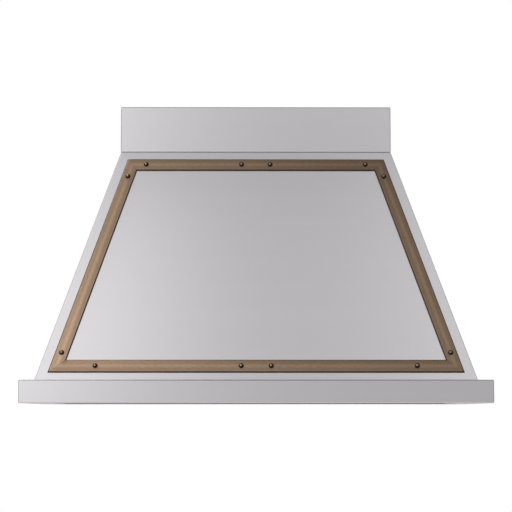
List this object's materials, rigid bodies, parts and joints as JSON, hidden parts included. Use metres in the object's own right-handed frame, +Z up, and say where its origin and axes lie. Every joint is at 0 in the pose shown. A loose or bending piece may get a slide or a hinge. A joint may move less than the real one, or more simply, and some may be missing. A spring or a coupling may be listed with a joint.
{
  "type": "wall-mount range hood",
  "caption": "Tapered stainless canopy hood on a folded lip with a bronze bar frame and domed screws, baffle filters, lamps, buttons and a blower with a round duct outlet.",
  "frame": {"origin": "on the wall plane, on the centreline, level with the underside of the lip", "axes": "+Z up, +Y into the wall, the front faces -Y, +X to the right seen from the front"},
  "size_m": [1.219, 0.61, 0.814],
  "materials": {
    "stainless": "satin brushed",
    "bronze": "brushed dark bronze",
    "bronze_screw": "polished dark bronze",
    "filter_steel": "brushed",
    "bright_steel": "polished",
    "spring_steel": "ground",
    "lamp_glass": "frosted",
    "lamp_can": "matt",
    "driver_case": "matt",
    "black_plastic": "matt",
    "galvanised": "galvanised",
    "flap_aluminium": "mill",
    "motor_paint": "painted",
    "capacitor_case": "matt"
  },
  "bodies": {
    "hood": {"lip_apron": "stainless", "rear_rail": "stainless", "front_panel": "stainless", "left_side_panel": "stainless", "right_side_panel": "stainless", "back_panel": "stainless", "duct_band": "stainless", "light_panel": "stainless", "light_panel_cover": "stainless", "left_side_liner": "stainless", "right_side_liner": "stainless", "filter_rod": "stainless", "trim_bottom": "bronze", "trim_top": "bronze", "trim_left": "bronze", "trim_right": "bronze", "trim_screws": "bronze_screw", "lamp_bezels": "bright_steel", "control_bezel": "bright_steel", "damper_pin": "spring_steel", "lamp_lenses": "lamp_glass", "lamp_cans": "lamp_can", "lamp_driver": "driver_case", "switch_housing": "black_plastic", "cable_gland": "black_plastic", "hanging_rail": "galvanised", "blower_wrapper": "galvanised", "blower_cheeks": "galvanised", "inlet_rings": "galvanised", "motor_bracket": "galvanised", "outlet_transition": "galvanised", "outlet_collar": "galvanised", "blower_deck": "galvanised", "junction_box": "galvanised", "junction_box_cover": "galvanised", "deck_bolts": "galvanised", "blower_motor": "motor_paint", "motor_capacitor": "capacitor_case"},
    "left_filter": {"filter_frame_left": "filter_steel", "filter_baffles_left": "filter_steel", "filter_handle_left": "bright_steel", "filter_latch_left": "spring_steel"},
    "centre_filter": {"filter_frame_centre": "filter_steel", "filter_baffles_centre": "filter_steel", "filter_handle_centre": "bright_steel", "filter_latch_centre": "spring_steel"},
    "right_filter": {"filter_frame_right": "filter_steel", "filter_baffles_right": "filter_steel", "filter_handle_right": "bright_steel", "filter_latch_right": "spring_steel"},
    "tray": {"grease_tray": "stainless"},
    "off_button": {"button_off": "bright_steel"},
    "slower_button": {"button_slower": "bright_steel"},
    "faster_button": {"button_faster": "bright_steel"},
    "lamp_button": {"button_lamp": "bright_steel"},
    "wheel": {"blower_wheel": "galvanised", "wheel_shaft": "spring_steel"},
    "front_flap": {"damper_flap_front": "flap_aluminium"},
    "rear_flap": {"damper_flap_rear": "flap_aluminium"}
  },
  "joints": [
    {"name": "left_filter_swing", "type": "hinge", "parent": "hood", "child": "left_filter", "pos_m": [-0.36417, -0.07, 0.02], "axis": [1, 0, 0], "range_deg": [0, 75], "deforming": ["filter_latch_left"]},
    {"name": "centre_filter_swing", "type": "hinge", "parent": "hood", "child": "centre_filter", "pos_m": [0, -0.07, 0.02], "axis": [1, 0, 0], "range_deg": [0, 75], "deforming": ["filter_latch_centre"]},
    {"name": "right_filter_swing", "type": "hinge", "parent": "hood", "child": "right_filter", "pos_m": [0.36417, -0.07, 0.02], "axis": [1, 0, 0], "range_deg": [0, 75], "deforming": ["filter_latch_right"]},
    {"name": "tray_slide", "type": "slide", "parent": "hood", "child": "tray", "axis": [0, -1, 0], "range_m": [0, 0.1]},
    {"name": "off_press", "type": "slide", "parent": "hood", "child": "off_button", "axis": [0, 0, 1], "range_m": [0, 0.002], "stiffness_N_per_m": 200, "springref_m": -0.002},
    {"name": "slower_press", "type": "slide", "parent": "hood", "child": "slower_button", "axis": [0, 0, 1], "range_m": [0, 0.002], "stiffness_N_per_m": 200, "springref_m": -0.002},
    {"name": "faster_press", "type": "slide", "parent": "hood", "child": "faster_button", "axis": [0, 0, 1], "range_m": [0, 0.002], "stiffness_N_per_m": 200, "springref_m": -0.002},
    {"name": "lamp_press", "type": "slide", "parent": "hood", "child": "lamp_button", "axis": [0, 0, 1], "range_m": [0, 0.002], "stiffness_N_per_m": 200, "springref_m": -0.002},
    {"name": "wheel_spin", "type": "hinge", "parent": "hood", "child": "wheel", "pos_m": [0, -0.263, 0.4375], "axis": [1, 0, 0], "continuous": true},
    {"name": "front_flap_swing", "type": "hinge", "parent": "hood", "child": "front_flap", "pos_m": [0, -0.178, 0.73436], "axis": [-1, 0, 0], "range_deg": [0, 80]},
    {"name": "rear_flap_swing", "type": "hinge", "parent": "hood", "child": "rear_flap", "pos_m": [0, -0.178, 0.73436], "axis": [1, 0, 0], "range_deg": [0, 80]}
  ]
}
